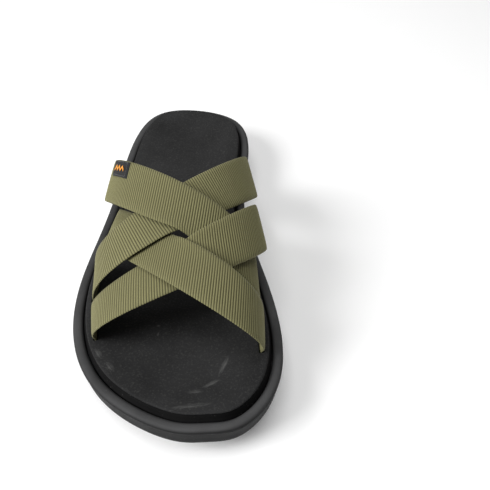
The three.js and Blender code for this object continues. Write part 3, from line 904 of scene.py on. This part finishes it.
class Shader:
    """A material's nodes, added one by one."""

    def __init__(self, name, colour, roughness, **settings):
        self.material = bpy.data.materials.new(name)
        self.material.use_nodes = True
        self.nodes = self.material.node_tree.nodes
        self.links = self.material.node_tree.links
        self.surface = self.nodes["Principled BSDF"]
        self.surface.inputs["Base Color"].default_value = (*colour, 1)
        self.surface.inputs["Roughness"].default_value = roughness
        for socket, value in settings.items():
            self.surface.inputs[socket.replace("_", " ")].default_value = value

    def add(self, kind, inputs=(), **settings):
        node = self.nodes.new(kind)
        for name, value in settings.items():
            setattr(node, name, value)
        for socket, value in dict(inputs).items():
            if isinstance(value, bpy.types.NodeSocket):
                self.links.new(value, node.inputs[socket])
            else:
                node.inputs[socket].default_value = value
        return node

    def coordinates(self, kind="Object"):
        return self.add("ShaderNodeTexCoord").outputs[kind]

    def noise(self, vector, scale, detail=3, roughness=0.5):
        return self.add("ShaderNodeTexNoise", {
            "Vector": vector, "Scale": scale, "Detail": detail, "Roughness": roughness}).outputs["Fac"]

    def math(self, operation, first, second=0.0, third=0.0):
        node = self.add("ShaderNodeMath", {0: first, 1: second, 2: third}, operation=operation)
        return node.outputs[0]

    def span(self, value, low, high, start=0.0, end=1.0):
        return self.add("ShaderNodeMapRange", {
            "Value": value, "From Min": low, "From Max": high, "To Min": start, "To Max": end}).outputs[0]

    def mix(self, share, first, second):
        node = self.add("ShaderNodeMix", data_type="RGBA")
        for socket, value in (("Factor", share), ("A", first), ("B", second)):
            target = [s for s in node.inputs if s.name == socket and s.enabled][0]
            if isinstance(value, bpy.types.NodeSocket):
                self.links.new(value, target)
            elif socket == "Factor":
                target.default_value = value
            else:
                target.default_value = (*value, 1)
        return [s for s in node.outputs if s.enabled][0]

    def bump(self, height, distance, strength=1.0, after=None):
        inputs = {"Height": height, "Distance": distance, "Strength": strength}
        if after is not None:
            inputs["Normal"] = after
        return self.add("ShaderNodeBump", inputs).outputs["Normal"]

    def plug(self, socket, value):
        self.links.new(value, self.surface.inputs[socket])


def foam_material(name, dark, light, roughness, grain, wear_and_painted_highlight=None):
    """Moulded foam or rubber: fine grain and faint dust, with a painted highlight where surfaces face up,
    painted paler in patches.
    """
    shader = Shader(name, dark, roughness, Specular_IOR_Level=0.12)
    place = shader.coordinates()
    dust = shader.span(shader.noise(place, DUST_SCALE, 6, 0.65), 0.42, 0.72)
    fine = shader.noise(place, FINE_GRAIN_SCALE, 2)
    speck = shader.span(shader.noise(place, SPECK_SCALE, 1), 0.70, 0.78)
    colour = shader.mix(dust, dark, light)
    colour = shader.mix(shader.math("MULTIPLY", speck, SPECK_SHARE), colour, SPECK_COLOUR)
    if wear_and_painted_highlight:
        # Painted highlight: surfaces facing up are painted paler, in patches, where they catch the light.
        normal = shader.add("ShaderNodeNewGeometry").outputs["Normal"]
        facing = shader.add("ShaderNodeSeparateXYZ", {0: normal})
        upward = shader.span(facing.outputs["Z"], 0.15, 0.95)
        patchy = shader.span(shader.noise(place, RUB_SCALE, 5, 0.6), 0.3, 0.7, 0.45, 1)
        colour = shader.mix(shader.math("MULTIPLY", upward, patchy), colour, wear_and_painted_highlight)
    shader.plug("Base Color", colour)
    shader.plug("Roughness", shader.span(dust, 0, 1, roughness, roughness + DUSTY_ROUGHNESS))
    shader.plug("Normal", shader.bump(fine, grain, 0.5))
    return shader.material


def scuff(shader, place, centre, size, turn, threshold):
    """A rubbed streak on the footbed: noise stretched along it and faded out round it."""
    cx, cy = centre
    mapped = shader.add("ShaderNodeMapping", {
        "Vector": place, "Location": (-cx * MM, -cy * MM, 0)}, vector_type="POINT").outputs[0]
    turned = shader.add("ShaderNodeVectorRotate", {
        "Vector": mapped, "Angle": -turn}, rotation_type="Z_AXIS").outputs[0]
    scaled = shader.add("ShaderNodeVectorMath", {
        0: turned, 1: (1 / (size[0] * MM), 1 / (size[1] * MM), 0)}, operation="MULTIPLY").outputs[0]
    away = shader.add("ShaderNodeVectorMath", {0: scaled}, operation="LENGTH").outputs["Value"]
    near = shader.span(away, 1, 0.1)
    streak = shader.add("ShaderNodeVectorMath", {
        0: turned, 1: SCUFF_STREAK}, operation="MULTIPLY").outputs[0]
    rough = shader.noise(streak, 1, 4, 0.7)
    wear_and_painted_highlight = shader.math("MULTIPLY", near, rough)
    return shader.span(wear_and_painted_highlight, threshold - SCUFF_SOFT_START, threshold + SCUFF_SOFT_END)


def cover_material():
    """Brushed black footbed cover: suede grain, rubbed rim, and pale scuffs at the toes."""
    shader = Shader("footbed_cover_suede", COVER_DARK, 0.85, Specular_IOR_Level=0.22)
    place = shader.coordinates()
    cloud = shader.span(shader.noise(place, 28, 5, 0.6), 0.35, 0.7)
    grain = shader.noise(place, 900, 3, 0.7)
    colour = shader.mix(cloud, COVER_DARK, COVER_LIGHT)
    colour = shader.mix(shader.span(grain, 0.52, 0.78, 0, COVER_GRAIN_SHARE), colour, COVER_GRAIN)
    for centre, size, turn, threshold in SCUFFS:
        mark = scuff(shader, place, centre, size, turn, threshold)
        colour = shader.mix(shader.math("MULTIPLY", mark, SCUFF_SHARE), colour, SCUFF_COLOUR)
    shader.plug("Base Color", colour)
    coarse = shader.bump(shader.noise(place, 260, 3), 0.0002, 0.5)
    shader.plug("Normal", shader.bump(grain, 0.00015, 0.6, coarse))
    return shader.material


def webbing_material():
    """Olive polyester webbing: yarns along the strap, soft sheen, uneven dye and a little dust, with
    painted shade in the rib valleys and a painted highlight on the rib crests.
    """
    shader = Shader("olive_webbing", (0.18, 0.172, 0.083), 0.8, Specular_IOR_Level=0.25,
                    Sheen_Weight=0.06, Sheen_Roughness=0.5)
    flat = shader.coordinates("UV")
    place = shader.coordinates()
    parts = shader.add("ShaderNodeSeparateXYZ", {0: flat})
    length, width = parts.outputs[0], parts.outputs[1]
    rib = shader.math("COSINE", shader.math("MULTIPLY", length, 2 * math.pi / (RIB_PITCH * MM)))
    crest = shader.span(rib, -1, 0.2)
    yarn = shader.math("COSINE", shader.math("MULTIPLY", width, 2 * math.pi / (YARN_PITCH * MM)))
    drawn = shader.add("ShaderNodeVectorMath", {0: flat, 1: TWIST_SCALE}, operation="MULTIPLY").outputs[0]
    twist = shader.noise(drawn, 1, 2)
    cloud = shader.noise(place, 60, 4, 0.6)
    # Painted shade: the rib valleys are painted darker than the crests.
    colour = shader.mix(crest, WEBBING_VALLEY_SHADE, WEBBING_BASE)
    # Painted highlight on the rib crests, broken up by twist noise into pale yarns.
    lit = shader.math("MULTIPLY", shader.span(twist, 0.35, 0.75), crest)
    colour = shader.mix(shader.math("MULTIPLY", lit, PALE_YARN_AND_CREST_HIGHLIGHT_SHARE), colour, WEBBING_PALE_YARN_AND_CREST_HIGHLIGHT)
    colour = shader.mix(shader.span(cloud, 0.35, 0.8, 0, 0.3), colour, WEBBING_FADED)
    shader.plug("Base Color", colour)
    height = shader.math("MULTIPLY_ADD", yarn, YARN_HEIGHT, shader.math("MULTIPLY", twist, 1 - YARN_HEIGHT))
    shader.plug("Normal", shader.bump(height, 0.00016, 0.7))
    return shader.material


def woven_material(name, dark, light, pitch):
    """A fine damask weave, for labels."""
    shader = Shader(name, dark, 0.7, Specular_IOR_Level=0.3)
    flat = shader.coordinates("UV")
    parts = shader.add("ShaderNodeSeparateXYZ", {0: flat})
    turns = 2 * math.pi / (pitch * MM)
    across = shader.math("SINE", shader.math("MULTIPLY", parts.outputs[0], turns))
    along = shader.math("SINE", shader.math("MULTIPLY", parts.outputs[1], turns))
    weave = shader.span(shader.math("MULTIPLY", across, along), -1, 1)
    shader.plug("Base Color", shader.mix(weave, dark, light))
    shader.plug("Normal", shader.bump(weave, 0.0001, 0.6))
    return shader.material


def thread_material(name, dark, light):
    """Embroidery thread: a soft gloss and a fine twist."""
    shader = Shader(name, dark, 0.5, Specular_IOR_Level=0.5, Sheen_Weight=0.1)
    place = shader.coordinates()
    twist = shader.noise(place, TWIST_GRAIN_SCALE, 2)
    shader.plug("Base Color", shader.mix(shader.span(twist, 0.3, 0.7), dark, light))
    shader.plug("Normal", shader.bump(twist, 0.00008, 0.5))
    return shader.material


def board_material():
    """Pressed fibre board: speckled brown."""
    shader = Shader("fibre_board", (0.14, 0.11, 0.07), 0.9)
    place = shader.coordinates()
    fibre = shader.noise(place, FIBRE_SCALE, 5, 0.7)
    shader.plug("Base Color", shader.mix(shader.span(fibre, 0.3, 0.7), FIBRE_DARK, FIBRE_PALE))
    shader.plug("Normal", shader.bump(fibre, 0.0003, 0.5))
    return shader.material


MATERIALS = {
    # The midsole's last colour is a painted highlight for the lip's surfaces that face up.
    "midsole_foam": foam_material(
        "midsole_eva", (0.006, 0.006, 0.0062), (0.011, 0.011, 0.0112), 0.6, 0.00012, (0.064, 0.064, 0.065)),
    "outsole_rubber": foam_material(
        "outsole_rubber", (0.014, 0.014, 0.014), (0.026, 0.026, 0.026), 0.7, 0.0002),
    "footbed_foam": foam_material(
        "footbed_eva", (0.004, 0.004, 0.0042), (0.008, 0.008, 0.008), 0.9, 0.00012),
    "footbed_cover": cover_material(),
    "webbing": webbing_material(),
    "label": woven_material("black_label", (0.008, 0.008, 0.009), (0.022, 0.022, 0.023), LABEL_PITCH),
    "orange_thread": thread_material("orange_thread", (0.62, 0.21, 0.012), (0.85, 0.36, 0.03)),
    "black_thread": thread_material("black_thread", (0.02, 0.02, 0.022), (0.06, 0.06, 0.062)),
    "grey_print": thread_material("grey_print", (0.22, 0.22, 0.23), (0.3, 0.3, 0.31)),
    "board": board_material(),
}


def dress_hidden_nodes():
    """The CAD nodes that stay: the lasting board and the bar tacks, inside the sole."""
    for name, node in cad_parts.items():
        material = "board" if name == "lasting_board" else "black_thread"
        if name == "lasting_board" or name.startswith("bartack"):
            node.data.materials.clear()
            node.data.materials.append(MATERIALS[material])


# ---- Stage ----

NEAR_CLIP = 0.01
FLOOR_HALF = 6
FLOOR_DROP = 0.0003
FLOOR_GLOW = 0.12
WORLD_STRENGTH = 0.15
LIGHTS = [
    # name, place, aim, size, watts
    ("key", (-1.0, -0.45, 0.8), (0, 0, 0), (0.7, 0.7), 20.5),
    ("top", (0, -0.2, 1.3), (0, 0, 0), (0.9, 0.7), 8),
    ("back", (0.2, 1.0, 0.8), (0, 0.05, 0), (1.0, 0.5), 3),
]

def camera():
    pitch = CAMERA_PITCH
    yaw = CAMERA_YAW
    roll = CAMERA_ROLL
    ahead = math.cos(pitch)
    forward = np.array([math.sin(yaw) * ahead, math.cos(yaw) * ahead, -math.sin(pitch)])
    level = np.array([math.cos(yaw), -math.sin(yaw), 0])
    above = np.cross(level, forward)
    right = math.cos(roll) * level + math.sin(roll) * above
    up = -math.sin(roll) * level + math.cos(roll) * above
    data = bpy.data.cameras.new("camera")
    data.sensor_width = CAMERA_SENSOR
    data.lens = CAMERA_LENS
    data.clip_start = NEAR_CLIP
    seat = bpy.data.objects.new("camera", data)
    turn = Matrix((right, up, -forward)).transposed().to_4x4()
    seat.matrix_world = Matrix.Translation([value * MM for value in CAMERA_PLACE]) @ turn
    bpy.context.scene.collection.objects.link(seat)
    bpy.context.scene.camera = seat


def soft_light(name, place, aim, size, power):
    data = bpy.data.lights.new(name, "AREA")
    data.shape = "RECTANGLE"
    data.size, data.size_y = size
    data.energy = power
    lamp = bpy.data.objects.new(name, data)
    away = Vector(place) - Vector(aim)
    lamp.matrix_world = Matrix.Translation(place) @ away.to_track_quat("Z", "Y").to_matrix().to_4x4()
    bpy.context.scene.collection.objects.link(lamp)


def stage():
    mesh = bpy.data.meshes.new("floor")
    corners = [(x * FLOOR_HALF, y * FLOOR_HALF, 0) for x, y in ((-1, -1), (1, -1), (1, 1), (-1, 1))]
    mesh.from_pydata(corners, [], [(0, 1, 2, 3)])
    floor = bpy.data.objects.new("floor", mesh)
    bpy.context.scene.collection.objects.link(floor)
    shader = Shader("pale_floor", (0.9, 0.9, 0.9), 0.9, Specular_IOR_Level=0.1,
                    Emission_Color=(1, 1, 1, 1), Emission_Strength=FLOOR_GLOW)
    floor.data.materials.append(shader.material)
    floor.location.z = -FLOOR_DROP
    world = bpy.data.worlds.new("studio")
    world.use_nodes = True
    world.node_tree.nodes["Background"].inputs[0].default_value = (1, 1, 1, 1)
    world.node_tree.nodes["Background"].inputs[1].default_value = WORLD_STRENGTH
    bpy.context.scene.world = world
    bpy.context.scene.view_settings.view_transform = "Standard"
    for light in LIGHTS:
        soft_light(*light)


camera()
stage()
MOVES = settled_moves()
midsole()
outsole()
footbed()
footbed_cover()
for strap in STRAPS:
    webbing(strap)
labels()
dress_hidden_nodes()
